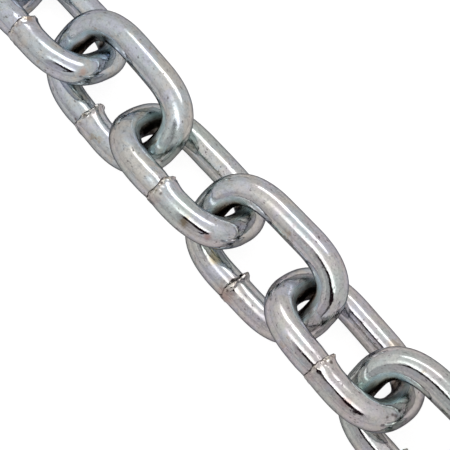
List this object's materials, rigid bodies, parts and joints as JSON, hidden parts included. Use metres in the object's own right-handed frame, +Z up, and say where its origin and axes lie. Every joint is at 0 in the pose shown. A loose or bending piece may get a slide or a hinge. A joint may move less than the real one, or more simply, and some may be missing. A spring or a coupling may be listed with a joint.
{
  "type": "welded steel chain",
  "caption": "Straight length of welded steel chain: long round-wire links with welded legs, threaded through one another and free to swing.",
  "frame": {"origin": "on the floor under the middle of the chain", "axes": "+X along the chain, +Y across it on the side away from the welds, +Z up from the floor"},
  "size_m": [0.6216, 0.0246, 0.0183],
  "materials": {
    "zinc_plated_steel": "bright zinc plating over drawn wire, with faint stains and weld marks"
  },
  "bodies": {
    "link_00": {"link_00": "zinc_plated_steel"},
    "link_01": {"link_01": "zinc_plated_steel"},
    "link_02": {"link_02": "zinc_plated_steel"},
    "link_03": {"link_03": "zinc_plated_steel"},
    "link_04": {"link_04": "zinc_plated_steel"},
    "link_05": {"link_05": "zinc_plated_steel"},
    "link_06": {"link_06": "zinc_plated_steel"},
    "link_07": {"link_07": "zinc_plated_steel"},
    "link_08": {"link_08": "zinc_plated_steel"},
    "link_09": {"link_09": "zinc_plated_steel"},
    "link_10": {"link_10": "zinc_plated_steel"},
    "link_11": {"link_11": "zinc_plated_steel"},
    "link_12": {"link_12": "zinc_plated_steel"},
    "link_13": {"link_13": "zinc_plated_steel"},
    "link_14": {"link_14": "zinc_plated_steel"},
    "link_15": {"link_15": "zinc_plated_steel"},
    "link_16": {"link_16": "zinc_plated_steel"},
    "link_17": {"link_17": "zinc_plated_steel"},
    "link_18": {"link_18": "zinc_plated_steel"},
    "link_19": {"link_19": "zinc_plated_steel"},
    "link_20": {"link_20": "zinc_plated_steel"},
    "link_21": {"link_21": "zinc_plated_steel"},
    "link_22": {"link_22": "zinc_plated_steel"},
    "link_23": {"link_23": "zinc_plated_steel"}
  },
  "joints": [
    {"name": "swing_13", "type": "hinge", "parent": "link_12", "child": "link_13", "pos_m": [0.02914, -0.00016, 0.00899], "axis": [-0.0203, 0.6645, -0.747], "range_deg": [-75, 75]},
    {"name": "swing_14", "type": "hinge", "parent": "link_13", "child": "link_14", "pos_m": [0.05454, 0.00029, 0.00871], "axis": [-0.0041, 0.6671, 0.745], "range_deg": [-75, 75]},
    {"name": "swing_15", "type": "hinge", "parent": "link_14", "child": "link_15", "pos_m": [0.07995, -0.00042, 0.0091], "axis": [0.0237, -0.6043, 0.7964], "range_deg": [-75, 75]},
    {"name": "swing_16", "type": "hinge", "parent": "link_15", "child": "link_16", "pos_m": [0.10433, 0.00096, 0.00897], "axis": [0.0217, -0.6016, -0.7985], "range_deg": [-75, 75]},
    {"name": "swing_17", "type": "hinge", "parent": "link_16", "child": "link_17", "pos_m": [0.12964, 0.00064, 0.00864], "axis": [-0.008, 0.6565, -0.7543], "range_deg": [-75, 75]},
    {"name": "swing_18", "type": "hinge", "parent": "link_17", "child": "link_18", "pos_m": [0.15505, 0.00001, 0.00864], "axis": [0, 0.6566, 0.7543], "range_deg": [-75, 75]},
    {"name": "swing_19", "type": "hinge", "parent": "link_18", "child": "link_19", "pos_m": [0.18045, 0.00001, 0.00864], "axis": [0, -0.6566, 0.7543], "range_deg": [-75, 75]},
    {"name": "swing_20", "type": "hinge", "parent": "link_19", "child": "link_20", "pos_m": [0.20585, 0.00001, 0.00864], "axis": [0, -0.6566, -0.7543], "range_deg": [-75, 75]},
    {"name": "swing_21", "type": "hinge", "parent": "link_20", "child": "link_21", "pos_m": [0.23125, 0.00001, 0.00864], "axis": [0, 0.6566, -0.7543], "range_deg": [-75, 75]},
    {"name": "swing_22", "type": "hinge", "parent": "link_21", "child": "link_22", "pos_m": [0.25665, 0.00001, 0.00864], "axis": [0, 0.6566, 0.7543], "range_deg": [-75, 75]},
    {"name": "swing_23", "type": "hinge", "parent": "link_22", "child": "link_23", "pos_m": [0.28205, 0.00001, 0.00864], "axis": [0, -0.6566, 0.7543], "range_deg": [-75, 75]},
    {"name": "swing_11", "type": "hinge", "parent": "link_12", "child": "link_11", "pos_m": [-0.00405, -0.00086, 0.00924], "axis": [0.0051, 0.6129, -0.7901], "range_deg": [-75, 75]},
    {"name": "swing_10", "type": "hinge", "parent": "link_11", "child": "link_10", "pos_m": [-0.02904, 0.00053, 0.00864], "axis": [-0.0028, 0.592, 0.806], "range_deg": [-75, 75]},
    {"name": "swing_09", "type": "hinge", "parent": "link_10", "child": "link_09", "pos_m": [-0.05385, 0.00012, 0.0085], "axis": [0.003, -0.606, 0.7954], "range_deg": [-75, 75]},
    {"name": "swing_08", "type": "hinge", "parent": "link_09", "child": "link_08", "pos_m": [-0.07885, 0.00021, 0.00864], "axis": [0, -0.6566, -0.7543], "range_deg": [-75, 75]},
    {"name": "swing_07", "type": "hinge", "parent": "link_08", "child": "link_07", "pos_m": [-0.10425, 0.00001, 0.00864], "axis": [0, 0.6566, -0.7543], "range_deg": [-75, 75]},
    {"name": "swing_06", "type": "hinge", "parent": "link_07", "child": "link_06", "pos_m": [-0.12965, 0.00001, 0.00864], "axis": [0, 0.6566, 0.7543], "range_deg": [-75, 75]},
    {"name": "swing_05", "type": "hinge", "parent": "link_06", "child": "link_05", "pos_m": [-0.15505, 0.00001, 0.00864], "axis": [0, -0.6566, 0.7543], "range_deg": [-75, 75]},
    {"name": "swing_04", "type": "hinge", "parent": "link_05", "child": "link_04", "pos_m": [-0.18045, 0.00001, 0.00864], "axis": [0, -0.6566, -0.7543], "range_deg": [-75, 75]},
    {"name": "swing_03", "type": "hinge", "parent": "link_04", "child": "link_03", "pos_m": [-0.20585, 0.00001, 0.00864], "axis": [0, 0.6566, -0.7543], "range_deg": [-75, 75]},
    {"name": "swing_02", "type": "hinge", "parent": "link_03", "child": "link_02", "pos_m": [-0.23125, 0.00001, 0.00864], "axis": [0, 0.6566, 0.7543], "range_deg": [-75, 75]},
    {"name": "swing_01", "type": "hinge", "parent": "link_02", "child": "link_01", "pos_m": [-0.25665, 0.00001, 0.00864], "axis": [0, -0.6566, 0.7543], "range_deg": [-75, 75]},
    {"name": "swing_00", "type": "hinge", "parent": "link_01", "child": "link_00", "pos_m": [-0.28205, 0.00001, 0.00864], "axis": [0, -0.6566, -0.7543], "range_deg": [-75, 75]}
  ]
}
